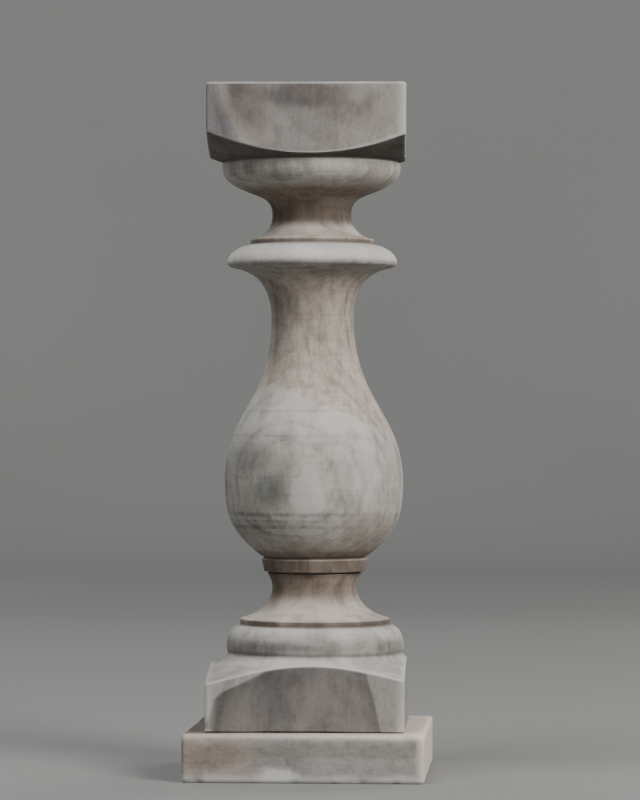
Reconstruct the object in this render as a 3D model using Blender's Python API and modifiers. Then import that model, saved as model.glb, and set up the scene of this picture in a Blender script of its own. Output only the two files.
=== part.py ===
"""A turned wooden baluster standing on its square plinth board.

The baluster is one squared timber. Both ends keep the square of the timber, and the length between
them is turned, so the flat faces run out in arcs where the round shoulders cut across them.
Metres, +Z up, front towards -Y, origin at the middle of the plinth board's underside.
"""

import math

import bmesh
import bpy
from mathutils import Matrix, Vector

# The plinth board
PLINTH_SIDE = 0.2080
PLINTH_HEIGHT = 0.0417
PLINTH_ROUNDING = 0.003

# The squared timber that the baluster is cut from
BLANK_SIDE = 0.1722
BLANK_ROUNDING = 0.003
JOINT_GAP = 0.0003             # between the board and the block

# The timber twisted a little as it dried: each end's turn in degrees, and its middle along X
BLANK_TURN_LOW = 1.0
BLANK_TURN_HIGH = 3.0
BLANK_SHIFT_LOW = -0.0013
BLANK_SHIFT_HIGH = -0.0026

# Where the lathe's centres held the timber's two ends, along X: not quite in their middles
LATHE_CENTRE_LOW = 0.0046
LATHE_CENTRE_HIGH = 0.0003

# Heights, from the block's underside upwards
BASE_BLOCK_HEIGHT = 0.0567     # at the middle of a face
BASE_SHOULDER_LIP = 0.0021     # above the middle of a face
BASE_COVE_HEIGHT = 0.0083      # from the middle of a face to the torus
TORUS_HEIGHT = 0.0234
FOOT_FILLET_HEIGHT = 0.0051
FOOT_HEIGHT = 0.0276
WAIST_HEIGHT = 0.0123
BAND_HEIGHT = 0.0136
BELLY_LOW_HEIGHT = 0.0657
BELLY_HIGH_HEIGHT = 0.1446
NECK_FLARE_HEIGHT = 0.0432
COLLAR_LOW_HEIGHT = 0.0050
COLLAR_HIGH_HEIGHT = 0.0161
COLLAR_FILLET_HEIGHT = 0.0044
UPPER_FLARE_HEIGHT = 0.0221
BOWL_HOLLOW_HEIGHT = 0.0185
BOWL_ROUND_HEIGHT = 0.0215
BOWL_RIM_HEIGHT = 0.0040
TOP_QUIRK_HEIGHT = 0.0015
TOP_BLOCK_HEIGHT = 0.0644      # from the quirk to the top

# How far each shoulder runs along the axis, from the turned part out to the timber's corner
BASE_SHOULDER_DROP = 0.0181
TOP_SHOULDER_RISE = 0.0243

# Radii of the turned part
SHOULDER_RADIUS = 0.0815
COVE_RADIUS = 0.0772
TORUS_RADIUS = 0.0780
FOOT_FILLET_RADIUS = 0.0660
WAIST_RADIUS = 0.0375
WAIST_TOP_RADIUS = 0.0416
BAND_LOW_RADIUS = 0.0445
BAND_RADIUS = 0.0466
BELLY_FOOT_RADIUS = 0.0472
BELLY_RADIUS = 0.0786
NECK_RADIUS = 0.0364
COLLAR_UNDER_RADIUS = 0.0680
COLLAR_RADIUS = 0.0750
COLLAR_FILLET_RADIUS = 0.0546
UPPER_NECK_RADIUS = 0.0350
BOWL_FOOT_RADIUS = 0.0533
BOWL_RADIUS = 0.0785
TOP_QUIRK_RADIUS = 0.0768

GROOVE_DEPTH = 0.0016          # the cut lines above and below the small band
GROOVE_WIDTH = 0.0012
CLEARANCE = 0.006              # how far the turned envelope runs past the timber
TURN_STEPS = 60

WOOD_COLOUR = (0.50, 0.465, 0.425, 1.0)
BOARD_COLOUR = (0.47, 0.435, 0.395, 1.0)
WOOD_ROUGHNESS = 0.75

BLANK_FLOOR = PLINTH_HEIGHT + JOINT_GAP
UP = 90                        # a direction in the profile's plane, in degrees; 0 points outwards


def stack(start, *heights):
    """The levels reached by putting heights one on another."""
    levels = [start]
    for height in heights:
        levels.append(levels[-1] + height)
    return levels


def sweep(points, leave, end, arrive, pull_out=0.40, pull_in=0.40, parts=5):
    """Adds a smooth curve from the last point to the end, by its directions at both ends.

    Each pull is the length of that end's tangent, as a share of the straight distance.
    """
    start = points[-1]
    end = Vector(end)
    reach = (end - start).length
    turned_out = Vector((math.cos(math.radians(leave)), math.sin(math.radians(leave))))
    turned_in = Vector((math.cos(math.radians(arrive)), math.sin(math.radians(arrive))))
    first = start + turned_out * reach * pull_out
    second = end - turned_in * reach * pull_in
    for step in range(1, parts + 1):
        t = step / parts
        s = 1 - t
        points.append(s**3 * start + 3 * s * s * t * first + 3 * s * t * t * second + t**3 * end)


def straight(points, *ends):
    """Adds corners joined by straight lines."""
    points.extend(Vector(end) for end in ends)


def groove(points, level):
    """Adds a narrow cut, its middle at this level, between the radii on both sides."""
    radius = points[-1].x - GROOVE_DEPTH
    straight(points, (radius, level - GROOVE_WIDTH / 2), (radius, level + GROOVE_WIDTH / 2))


def profile():
    """The turned outline as (radius, height), from the block's underside to the timber's top."""
    base_face, torus_low, torus_top, fillet_top, waist, band_low, band_top, belly, neck, collar_low = stack(
        BASE_BLOCK_HEIGHT, BASE_COVE_HEIGHT, TORUS_HEIGHT, FOOT_FILLET_HEIGHT, FOOT_HEIGHT,
        WAIST_HEIGHT, BAND_HEIGHT, BELLY_LOW_HEIGHT, BELLY_HIGH_HEIGHT, NECK_FLARE_HEIGHT)
    (_, nose, collar_top, collar_fillet_top, upper_neck, bowl_foot, bowl_side, bowl_top, quirk_top, top) = stack(
        collar_low, COLLAR_LOW_HEIGHT, COLLAR_HIGH_HEIGHT, COLLAR_FILLET_HEIGHT, UPPER_FLARE_HEIGHT,
        BOWL_HOLLOW_HEIGHT, BOWL_ROUND_HEIGHT, BOWL_RIM_HEIGHT, TOP_QUIRK_HEIGHT, TOP_BLOCK_HEIGHT)
    corner = envelope_radius()
    points = [Vector((0, -CLEARANCE))]
    straight(points, (corner, -CLEARANCE), (corner, base_face - BASE_SHOULDER_DROP))

    # Base shoulder, torus and foot
    straight(points, (SHOULDER_RADIUS, base_face + BASE_SHOULDER_LIP))
    sweep(points, 150, (COVE_RADIUS, torus_low), 98, parts=3)
    straight(points, (TORUS_RADIUS, torus_low + GROOVE_WIDTH))
    sweep(points, 86, (FOOT_FILLET_RADIUS, torus_top), 168, 0.62, 0.22)
    straight(points, (FOOT_FILLET_RADIUS, fillet_top))
    sweep(points, 165, (WAIST_RADIUS, waist), UP, 0.30, 0.45)
    sweep(points, UP, (WAIST_TOP_RADIUS, band_low), 66, parts=2)

    # Small band between two cut lines
    groove(points, band_low)
    straight(points, (BAND_LOW_RADIUS, band_low + GROOVE_WIDTH))
    sweep(points, 80, (BAND_RADIUS, band_top - GROOVE_WIDTH), 88, parts=2)
    groove(points, band_top)

    # Belly and neck, up to the collar
    straight(points, (BELLY_FOOT_RADIUS, band_top + GROOVE_WIDTH))
    sweep(points, 39, (BELLY_RADIUS, belly), UP, 0.45, 0.45, parts=7)
    sweep(points, UP, (NECK_RADIUS, neck), UP, 0.42, 0.50, parts=11)
    sweep(points, UP, (COLLAR_UNDER_RADIUS, collar_low), 10, 0.44, 0.40, parts=6)
    sweep(points, 14, (COLLAR_RADIUS, nose), UP, parts=3)
    sweep(points, UP, (COLLAR_FILLET_RADIUS, collar_top), 172, 0.27, 0.46, parts=5)
    straight(points, (COLLAR_FILLET_RADIUS, collar_fillet_top))

    # Upper neck, bowl and top shoulder
    sweep(points, 168, (UPPER_NECK_RADIUS, upper_neck), UP, 0.34, 0.48, parts=5)
    sweep(points, UP, (BOWL_FOOT_RADIUS, bowl_foot), 21, 0.45, 0.45, parts=5)
    sweep(points, 21, (BOWL_RADIUS, bowl_side), UP, 0.54, 0.30, parts=5)
    straight(points, (BOWL_RADIUS, bowl_top), (TOP_QUIRK_RADIUS, quirk_top))
    sweep(points, 14, (corner, quirk_top + TOP_SHOULDER_RISE), 22, 0.33, 0.33, parts=3)
    straight(points, (corner, top + CLEARANCE), (0, top + CLEARANCE))
    return points, top


def envelope_radius():
    """A radius that clears the timber's corners, wherever the lathe's axis passes them."""
    off_low = abs(LATHE_CENTRE_LOW - BLANK_SHIFT_LOW)
    off_high = abs(LATHE_CENTRE_HIGH - BLANK_SHIFT_HIGH)
    return BLANK_SIDE * math.sqrt(0.5) + max(off_low, off_high) + CLEARANCE / 2


def new_collection(name):
    collection = bpy.data.collections.new(name)
    bpy.context.scene.collection.children.link(collection)
    return collection


def new_object(name, mesh, collection):
    obj = bpy.data.objects.new(name, mesh)
    collection.objects.link(obj)
    return obj


def wood(name, colour):
    """A plain matt wood."""
    material = bpy.data.materials.new(name)
    material.use_nodes = True
    shader = material.node_tree.nodes["Principled BSDF"]
    shader.inputs["Base Color"].default_value = colour
    shader.inputs["Roughness"].default_value = WOOD_ROUGHNESS
    shader.inputs["Metallic"].default_value = 0.0
    return material


def squared(name, side, height, rounding, collection):
    """A square block standing on its own origin, with every edge rounded."""
    mesh = bpy.data.meshes.new(name)
    block = bmesh.new()
    bmesh.ops.create_cube(block, size=1)
    bmesh.ops.scale(block, vec=(side, side, height), verts=block.verts)
    bmesh.ops.translate(block, vec=(0, 0, height / 2), verts=block.verts)
    block.to_mesh(mesh)
    block.free()
    obj = new_object(name, mesh, collection)
    bevel = obj.modifiers.new("rounded edges", "BEVEL")
    bevel.width = rounding
    bevel.segments = 3
    bevel.limit_method = "NONE"
    return obj


def season(blank, height):
    """Moves and turns the timber's two ends to where they stand since it dried."""
    for vert in blank.data.vertices:
        if vert.co.z > height / 2:
            turn, shift = math.radians(BLANK_TURN_HIGH), BLANK_SHIFT_HIGH
        else:
            turn, shift = math.radians(BLANK_TURN_LOW), BLANK_SHIFT_LOW
        vert.co = Matrix.Translation((shift, 0, 0)) @ Matrix.Rotation(turn, 4, "Z") @ vert.co


def turned_envelope(points, height, collection):
    """The space that turning leaves: the outline spun about the lathe's axis."""
    mesh = bpy.data.meshes.new("turned_envelope")
    down = [(point.x, 0, point.y) for point in reversed(points)]
    mesh.from_pydata(down, [(i, i + 1) for i in range(len(down) - 1)], [])
    obj = new_object("turned_envelope", mesh, collection)
    obj.location = (LATHE_CENTRE_LOW, 0, BLANK_FLOOR)
    obj.rotation_euler.y = math.atan2(LATHE_CENTRE_HIGH - LATHE_CENTRE_LOW, height)
    spin = obj.modifiers.new("spin", "SCREW")
    spin.axis = "Z"
    spin.angle = math.tau
    spin.steps = TURN_STEPS
    spin.render_steps = TURN_STEPS
    spin.use_merge_vertices = True
    spin.merge_threshold = 0.00005
    obj.hide_render = True
    obj.display_type = "WIRE"
    return obj


def settle(obj, material):
    """Turns the object's modifiers into a plain mesh, smooth but for its crisp edges."""
    bpy.context.view_layer.update()
    graph = bpy.context.evaluated_depsgraph_get()
    mesh = bpy.data.meshes.new_from_object(obj.evaluated_get(graph))
    mesh.name = obj.name
    obj.modifiers.clear()
    obj.data = mesh
    mesh.materials.clear()
    mesh.materials.append(material)
    mesh.shade_smooth()
    mesh.set_sharp_from_angle(angle=math.radians(32))


def build_plinth_board(parts):
    board = squared("plinth_board", PLINTH_SIDE, PLINTH_HEIGHT, PLINTH_ROUNDING, parts)
    settle(board, wood("board_wood", BOARD_COLOUR))


def build_turned_baluster(parts, cutters):
    points, height = profile()
    baluster = squared("turned_baluster", BLANK_SIDE, height, BLANK_ROUNDING, parts)
    baluster.location.z = BLANK_FLOOR
    season(baluster, height)
    baluster.modifiers.new("flat faces", "TRIANGULATE")
    turning = baluster.modifiers.new("turning", "BOOLEAN")
    turning.operation = "INTERSECT"
    turning.solver = "EXACT"
    turning.object = turned_envelope(points, height, cutters)
    settle(baluster, wood("baluster_wood", WOOD_COLOUR))


def main():
    for obj in list(bpy.data.objects):
        bpy.data.objects.remove(obj)
    parts = new_collection("baluster")
    cutters = new_collection("cutters")
    cutters.hide_render = True
    build_plinth_board(parts)
    build_turned_baluster(parts, cutters)


main()
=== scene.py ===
"""The looks of the turned wooden baluster and its plinth board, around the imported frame.

The baluster is one squared timber, turned between its two blocks, so its outline is spun about the
lathe's axis and then held inside the square of the timber. The board under it is a worn square board.
Metres, +Z up, front towards -Y.
"""

import math

import bmesh
import bpy
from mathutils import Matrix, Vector, noise


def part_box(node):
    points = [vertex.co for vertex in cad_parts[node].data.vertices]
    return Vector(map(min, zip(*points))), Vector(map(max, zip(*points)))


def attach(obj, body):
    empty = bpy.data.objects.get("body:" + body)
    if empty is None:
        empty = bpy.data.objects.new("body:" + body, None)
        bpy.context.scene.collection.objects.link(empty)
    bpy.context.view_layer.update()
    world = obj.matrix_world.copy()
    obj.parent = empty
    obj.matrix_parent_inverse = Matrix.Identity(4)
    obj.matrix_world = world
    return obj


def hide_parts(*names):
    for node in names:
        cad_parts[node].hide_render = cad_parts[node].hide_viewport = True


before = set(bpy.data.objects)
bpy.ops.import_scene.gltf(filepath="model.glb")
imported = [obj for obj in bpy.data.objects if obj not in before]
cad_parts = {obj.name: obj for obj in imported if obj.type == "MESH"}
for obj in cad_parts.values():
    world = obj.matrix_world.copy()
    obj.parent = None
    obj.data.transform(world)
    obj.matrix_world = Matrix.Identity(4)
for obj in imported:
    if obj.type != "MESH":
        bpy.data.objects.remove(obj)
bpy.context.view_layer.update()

BOARD_LOW, BOARD_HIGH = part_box("plinth_board")
FLOOR, TOP = (corner.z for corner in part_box("turned_baluster"))

# The timber twisted a little as it dried: each end's turn in degrees, and its middle along X
BLANK_SIDE = 0.1722
BLANK_TURN_LOW = 1.0
BLANK_TURN_HIGH = 3.0
BLANK_SHIFT_LOW = -0.0013
BLANK_SHIFT_HIGH = -0.0026

# Where the lathe's centres held the timber's two ends, along X
LATHE_CENTRE_LOW = 0.0046
LATHE_CENTRE_HIGH = 0.0003

# The turned outline: heights from the block's underside, and radii
BASE_BLOCK_HEIGHT = 0.0567
BASE_SHOULDER_LIP = 0.0021
BASE_COVE_HEIGHT = 0.0083
TORUS_HEIGHT = 0.0234
FOOT_FILLET_HEIGHT = 0.0051
FOOT_HEIGHT = 0.0276
WAIST_HEIGHT = 0.0123
BAND_HEIGHT = 0.0136
BELLY_LOW_HEIGHT = 0.0657
BELLY_HIGH_HEIGHT = 0.1446
NECK_FLARE_HEIGHT = 0.0432
COLLAR_LOW_HEIGHT = 0.0050
COLLAR_HIGH_HEIGHT = 0.0161
COLLAR_FILLET_HEIGHT = 0.0044
UPPER_FLARE_HEIGHT = 0.0221
BOWL_HOLLOW_HEIGHT = 0.0185
BOWL_ROUND_HEIGHT = 0.0215
BOWL_RIM_HEIGHT = 0.0040
TOP_QUIRK_HEIGHT = 0.0015
TOP_BLOCK_HEIGHT = 0.0644
BASE_SHOULDER_DROP = 0.0181
TOP_SHOULDER_RISE = 0.0243
SHOULDER_RADIUS = 0.0815
COVE_RADIUS = 0.0772
TORUS_RADIUS = 0.0780
FOOT_FILLET_RADIUS = 0.0660
WAIST_RADIUS = 0.0375
WAIST_TOP_RADIUS = 0.0416
BAND_LOW_RADIUS = 0.0445
BAND_RADIUS = 0.0466
BELLY_FOOT_RADIUS = 0.0472
BELLY_RADIUS = 0.0786
NECK_RADIUS = 0.0364
COLLAR_UNDER_RADIUS = 0.0680
COLLAR_RADIUS = 0.0750
COLLAR_FILLET_RADIUS = 0.0546
UPPER_NECK_RADIUS = 0.0350
BOWL_FOOT_RADIUS = 0.0533
BOWL_RADIUS = 0.0785
TOP_QUIRK_RADIUS = 0.0768
GROOVE_DEPTH = 0.0016
GROOVE_WIDTH = 0.0012
EDGE_ROUNDING = 0.003
# The outline runs past the timber's corners where the blocks stay square
CORNER_RADIUS = BLANK_SIDE * math.sqrt(0.5) + LATHE_CENTRE_LOW - BLANK_SHIFT_LOW + 0.003
POINT_SPACING = 0.0014         # along the outline
FINE_SPACING = 0.0006          # the same in cuts and at ends
TURN_STEPS = 180
END_RINGS = 12                 # rings on the timber's two ends
UP = 90                        # a direction in degrees, straight up the outline

# The board's worn edges
BOARD_ROUNDING = 0.0036
BOARD_NICK_REACH = 0.007       # how far in from an edge the nicks go
BOARD_UNEVENNESS = 0.00015

# The studio round the part
STUDIO_RADIUS = 5.4
STUDIO_HEIGHT = 2.4
STUDIO_STEPS = 96
STUDIO_RINGS = 12              # rings from the middle to the wall, were the floor flat, and in its curve
FLAT_RINGS = 9                 # of those, the rings on the flat floor


def stack(start, *heights):
    """The levels reached by putting heights one on another."""
    levels = [start]
    for height in heights:
        levels.append(levels[-1] + height)
    return levels


def direction(degrees):
    return Vector((math.cos(math.radians(degrees)), math.sin(math.radians(degrees))))


def sweep(points, leave, end, arrive, pull_out=0.40, pull_in=0.40, spacing=POINT_SPACING):
    """Adds a smooth curve from the last point to the end, by its directions at both ends."""
    start = points[-1]
    end = Vector(end)
    reach = (end - start).length
    first = start + direction(leave) * reach * pull_out
    second = end - direction(arrive) * reach * pull_in
    parts = max(3, round(1.1 * reach / spacing))
    for step in range(1, parts + 1):
        t = step / parts
        s = 1 - t
        points.append(s**3 * start + 3 * s * s * t * first + 3 * s * t * t * second + t**3 * end)


def straight(points, end, spacing=POINT_SPACING):
    """Adds a straight line to the end."""
    start = points[-1]
    end = Vector(end)
    parts = max(1, round((end - start).length / spacing))
    for step in range(1, parts + 1):
        points.append(start.lerp(end, step / parts))


def groove(points, level):
    """Adds a narrow cut, its middle at this level."""
    radius = points[-1].x - GROOVE_DEPTH
    straight(points, (radius, level - GROOVE_WIDTH / 2), FINE_SPACING)
    straight(points, (radius, level + GROOVE_WIDTH / 2), FINE_SPACING)


def outline():
    """The turned outline as (radius, height), from the edge of the underside to the edge of the top."""
    base_face, torus_low, torus_top, fillet_top, waist, band_low, band_top, belly, neck, collar_low = stack(
        BASE_BLOCK_HEIGHT, BASE_COVE_HEIGHT, TORUS_HEIGHT, FOOT_FILLET_HEIGHT, FOOT_HEIGHT,
        WAIST_HEIGHT, BAND_HEIGHT, BELLY_LOW_HEIGHT, BELLY_HIGH_HEIGHT, NECK_FLARE_HEIGHT)
    (_, nose, collar_top, collar_fillet_top, upper_neck, bowl_foot, bowl_side, bowl_top, quirk_top, top) = stack(
        collar_low, COLLAR_LOW_HEIGHT, COLLAR_HIGH_HEIGHT, COLLAR_FILLET_HEIGHT, UPPER_FLARE_HEIGHT,
        BOWL_HOLLOW_HEIGHT, BOWL_ROUND_HEIGHT, BOWL_RIM_HEIGHT, TOP_QUIRK_HEIGHT, TOP_BLOCK_HEIGHT)
    points = [Vector((CORNER_RADIUS, 0))]
    straight(points, (CORNER_RADIUS, EDGE_ROUNDING), FINE_SPACING)
    straight(points, (CORNER_RADIUS, base_face - BASE_SHOULDER_DROP), 0.003)

    # Base shoulder, torus and foot
    straight(points, (SHOULDER_RADIUS, base_face + BASE_SHOULDER_LIP), 0.0009)
    sweep(points, 150, (COVE_RADIUS, torus_low), 98, spacing=0.0008)
    straight(points, (TORUS_RADIUS, torus_low + GROOVE_WIDTH), FINE_SPACING)
    sweep(points, 86, (FOOT_FILLET_RADIUS, torus_top), 168, 0.62, 0.22)
    straight(points, (FOOT_FILLET_RADIUS, fillet_top))
    sweep(points, 165, (WAIST_RADIUS, waist), UP, 0.30, 0.45)
    sweep(points, UP, (WAIST_TOP_RADIUS, band_low), 66)

    # Small band between two cut lines
    groove(points, band_low)
    straight(points, (BAND_LOW_RADIUS, band_low + GROOVE_WIDTH), FINE_SPACING)
    sweep(points, 80, (BAND_RADIUS, band_top - GROOVE_WIDTH), 88)
    groove(points, band_top)

    # Belly and neck, up to the collar
    straight(points, (BELLY_FOOT_RADIUS, band_top + GROOVE_WIDTH), FINE_SPACING)
    sweep(points, 39, (BELLY_RADIUS, belly), UP, 0.45, 0.45, 0.002)
    sweep(points, UP, (NECK_RADIUS, neck), UP, 0.42, 0.50, 0.0024)
    sweep(points, UP, (COLLAR_UNDER_RADIUS, collar_low), 10, 0.44, 0.40, 0.0016)
    sweep(points, 14, (COLLAR_RADIUS, nose), UP, spacing=0.0009)
    sweep(points, UP, (COLLAR_FILLET_RADIUS, collar_top), 172, 0.27, 0.46)
    straight(points, (COLLAR_FILLET_RADIUS, collar_fillet_top))

    # Upper neck, bowl and top shoulder
    sweep(points, 168, (UPPER_NECK_RADIUS, upper_neck), UP, 0.34, 0.48)
    sweep(points, UP, (BOWL_FOOT_RADIUS, bowl_foot), 21, 0.45, 0.45)
    sweep(points, 21, (BOWL_RADIUS, bowl_side), UP, 0.54, 0.30)
    straight(points, (BOWL_RADIUS, bowl_top), 0.0015)
    straight(points, (TOP_QUIRK_RADIUS, quirk_top), 0.0008)
    sweep(points, 14, (CORNER_RADIUS, quirk_top + TOP_SHOULDER_RISE), 22, 0.33, 0.33, 0.0009)
    straight(points, (CORNER_RADIUS, top - EDGE_ROUNDING), 0.004)
    straight(points, (CORNER_RADIUS, top), FINE_SPACING)
    return points


def hollows(points, reach=3):
    """How deep in a hollow each point of the outline lies, from 0 on a bulge or a flat to 1 in a cut."""
    depths = []
    for i, point in enumerate(points):
        before = points[max(0, i - reach)]
        after = points[min(len(points) - 1, i + reach)]
        along = after - before
        bow = along.x * (point.y - before.y) - along.y * (point.x - before.x)
        depths.append(max(0.0, min(1.0, bow / max(along.length, 1e-6) / 0.0011)))
    return depths


def node(tree, kind, settings=None, **inputs):
    """Adds a node; inputs are set by name, from a value or from another node's socket."""
    made = tree.nodes.new(kind)
    for name, value in (settings or {}).items():
        setattr(made, name, value)
    for name, value in inputs.items():
        feed(tree, made.inputs[name.replace("_", " ")], value)
    return made


def feed(tree, socket, value):
    if isinstance(value, bpy.types.NodeSocket):
        tree.links.new(value, socket)
    else:
        socket.default_value = value


def calc(tree, operation, *values, clamp=False):
    """A sum on numbers."""
    made = tree.nodes.new("ShaderNodeMath")
    made.operation = operation
    made.use_clamp = clamp
    for socket, value in zip(made.inputs, values):
        feed(tree, socket, value)
    return made.outputs[0]


def between(tree, value, low, high, to_low=0.0, to_high=1.0):
    """Carries a value from one range to another, eased and held at both ends."""
    made = node(tree, "ShaderNodeMapRange", {"interpolation_type": "SMOOTHSTEP"})
    for name, setting in (("Value", value), ("From Min", low), ("From Max", high),
                          ("To Min", to_low), ("To Max", to_high)):
        feed(tree, made.inputs[name], setting)
    return made.outputs[0]


def vector(tree, x, y, z):
    return node(tree, "ShaderNodeCombineXYZ", X=x, Y=y, Z=z).outputs[0]


def along(tree, part_way, low, high):
    """A value between those of the timber's two ends."""
    return calc(tree, "MULTIPLY_ADD", part_way, calc(tree, "SUBTRACT", high, low), low)


def turned(tree, x, y, angle):
    """The place x, y after a turn about the timber's middle."""
    made = node(tree, "ShaderNodeVectorRotate", {"rotation_type": "Z_AXIS"}, Vector=vector(tree, x, y, 0.0),
                Angle=angle)
    place = node(tree, "ShaderNodeSeparateXYZ", Vector=made.outputs[0])
    return place.outputs["X"], place.outputs["Y"]


def store(tree, geometry, name, value):
    """Keeps a value on the mesh's points, for the material."""
    made = node(tree, "GeometryNodeStoreNamedAttribute", {"data_type": "FLOAT", "domain": "POINT"},
                Geometry=geometry, Name=name, Value=value)
    return made.outputs[0]


TIMBER_INPUTS = {
    "Steps": ("NodeSocketInt", TURN_STEPS),
    "Gathering": ("NodeSocketFloat", 0.45),       # brings the steps closer at the square's corners
    "Half Side": ("NodeSocketFloat", BLANK_SIDE / 2),
    "Turn Low": ("NodeSocketFloat", math.radians(BLANK_TURN_LOW)),
    "Turn High": ("NodeSocketFloat", math.radians(BLANK_TURN_HIGH)),
    "Middle Low": ("NodeSocketFloat", BLANK_SHIFT_LOW),
    "Middle High": ("NodeSocketFloat", BLANK_SHIFT_HIGH),
    "Floor": ("NodeSocketFloat", FLOOR),
    "Height": ("NodeSocketFloat", TOP - FLOOR),
    "Lathe Low": ("NodeSocketFloat", LATHE_CENTRE_LOW),
    "Lathe High": ("NodeSocketFloat", LATHE_CENTRE_HIGH),
    "Foot Rounding": ("NodeSocketFloat", 0.0008),
    "Top Rounding": ("NodeSocketFloat", EDGE_ROUNDING),
    "Corner Wear": ("NodeSocketFloat", 0.0022),
    "Arris Wear": ("NodeSocketFloat", 0.0018),
    "Unevenness": ("NodeSocketFloat", 0.0006),
    "Underside Hollow": ("NodeSocketFloat", 0.0005),
    "Finish": ("NodeSocketMaterial", None),
}


def timber_tree():
    """Spins the outline about the lathe's axis and holds it inside the worn square of the timber."""
    tree = bpy.data.node_groups.new("turned timber", "GeometryNodeTree")
    tree.interface.new_socket(name="Outline", in_out="INPUT", socket_type="NodeSocketGeometry")
    for name, (kind, _) in TIMBER_INPUTS.items():
        tree.interface.new_socket(name=name, in_out="INPUT", socket_type=kind)
    tree.interface.new_socket(name="Timber", in_out="OUTPUT", socket_type="NodeSocketGeometry")
    given = tree.nodes.new("NodeGroupInput").outputs
    done = tree.nodes.new("NodeGroupOutput")

    # A grid: one row for each point of the outline, one column for each step round the axis
    rows = node(tree, "GeometryNodeAttributeDomainSize", {"component": "MESH"}, Geometry=given["Outline"])
    rows = rows.outputs["Point Count"]
    grid = node(tree, "GeometryNodeMeshGrid", Vertices_X=calc(tree, "ADD", given["Steps"], 1), Vertices_Y=rows)
    index = tree.nodes.new("GeometryNodeInputIndex").outputs[0]
    row = calc(tree, "FLOORED_MODULO", index, rows)
    column = calc(tree, "FLOOR", calc(tree, "DIVIDE", calc(tree, "ADD", index, 0.5), rows))
    place = tree.nodes.new("GeometryNodeInputPosition").outputs[0]
    sampled = node(tree, "GeometryNodeSampleIndex", {"data_type": "FLOAT_VECTOR", "domain": "POINT"},
                   Geometry=given["Outline"], Value=place, Index=row)
    outline_point = node(tree, "ShaderNodeSeparateXYZ", Vector=sampled.outputs[0])
    radius, inset, height = outline_point.outputs["X"], outline_point.outputs["Y"], outline_point.outputs["Z"]
    depth = node(tree, "GeometryNodeInputNamedAttribute", {"data_type": "FLOAT"}, Name="hollow")
    hollow = node(tree, "GeometryNodeSampleIndex", {"data_type": "FLOAT", "domain": "POINT"},
                  Geometry=given["Outline"], Value=depth.outputs[0], Index=row).outputs[0]
    turn = calc(tree, "DIVIDE", calc(tree, "MULTIPLY", column, math.tau), given["Steps"])
    gather = calc(tree, "SINE", calc(tree, "MULTIPLY", turn, 4.0))
    angle = calc(tree, "MULTIPLY_ADD", gather, calc(tree, "DIVIDE", given["Gathering"], 4.0), turn)

    # The lathe's axis leans a little, and the timber's square turns a little, from one end to the other
    part_way = calc(tree, "DIVIDE", height, given["Height"])
    axis = along(tree, part_way, given["Lathe Low"], given["Lathe High"])
    middle = along(tree, part_way, given["Middle Low"], given["Middle High"])
    twist = along(tree, part_way, given["Turn Low"], given["Turn High"])
    off_axis = calc(tree, "SUBTRACT", axis, middle)
    x = calc(tree, "MULTIPLY_ADD", radius, calc(tree, "COSINE", angle), off_axis)
    y = calc(tree, "MULTIPLY", radius, calc(tree, "SINE", angle))
    x, y = turned(tree, x, y, calc(tree, "MULTIPLY", twist, -1.0))

    # Wear differs from place to place
    across = calc(tree, "ABSOLUTE", x)
    deep = calc(tree, "ABSOLUTE", y)
    wide = calc(tree, "MAXIMUM", calc(tree, "MAXIMUM", across, deep), 1e-5)
    inside = calc(tree, "MINIMUM", calc(tree, "DIVIDE", given["Half Side"], wide), 1.0)
    spot = vector(tree, calc(tree, "MULTIPLY", x, inside), calc(tree, "MULTIPLY", y, inside), height)
    wear = node(tree, "ShaderNodeTexNoise", Vector=spot, Scale=38.0, Detail=3.0).outputs[0]
    wear = between(tree, wear, 0.3, 0.7, 0.45, 1.6)
    nicks = node(tree, "ShaderNodeTexNoise", Vector=spot, Scale=120.0, Detail=2.0).outputs[0]
    nicks = between(tree, nicks, 0.62, 0.75, 0.0, 0.0011)

    # The square of the timber, narrower where its ends are rounded
    corner = calc(tree, "MULTIPLY", given["Corner Wear"], wear)
    square = calc(tree, "SMOOTH_MAX", across, deep, corner)
    square = calc(tree, "MAXIMUM", square, 1e-5)
    end = calc(tree, "MINIMUM", height, calc(tree, "SUBTRACT", given["Height"], height))
    rounding = between(tree, part_way, 0.4, 0.6, given["Foot Rounding"], given["Top Rounding"])
    into = calc(tree, "SUBTRACT", 1.0, calc(tree, "DIVIDE", end, rounding), clamp=True)
    drop = calc(tree, "SUBTRACT", 1.0, calc(tree, "SQRT", calc(tree, "SUBTRACT", 1.0,
                calc(tree, "MULTIPLY", into, into))))
    limit = calc(tree, "SUBTRACT", given["Half Side"], calc(tree, "MULTIPLY", drop, rounding))
    over = calc(tree, "SUBTRACT", square, limit)
    near_corner = between(tree, calc(tree, "ABSOLUTE", calc(tree, "SUBTRACT", across, deep)), 0.0, 0.012, 1.0, 0.0)
    near_arris = between(tree, calc(tree, "ABSOLUTE", over), 0.0, 0.006, 1.0, 0.0)
    near_corner = calc(tree, "MULTIPLY", near_corner, between(tree, over, -0.004, 0.0))
    at_edge = calc(tree, "MULTIPLY", calc(tree, "MAXIMUM", near_arris, near_corner), between(tree, inset, 0.9, 1.0))
    limit = calc(tree, "SUBTRACT", limit, calc(tree, "MULTIPLY", nicks, at_edge))
    arris = calc(tree, "MULTIPLY", given["Arris Wear"], wear)
    held = calc(tree, "SMOOTH_MIN", square, limit, arris)
    share = calc(tree, "DIVIDE", held, square)

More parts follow.
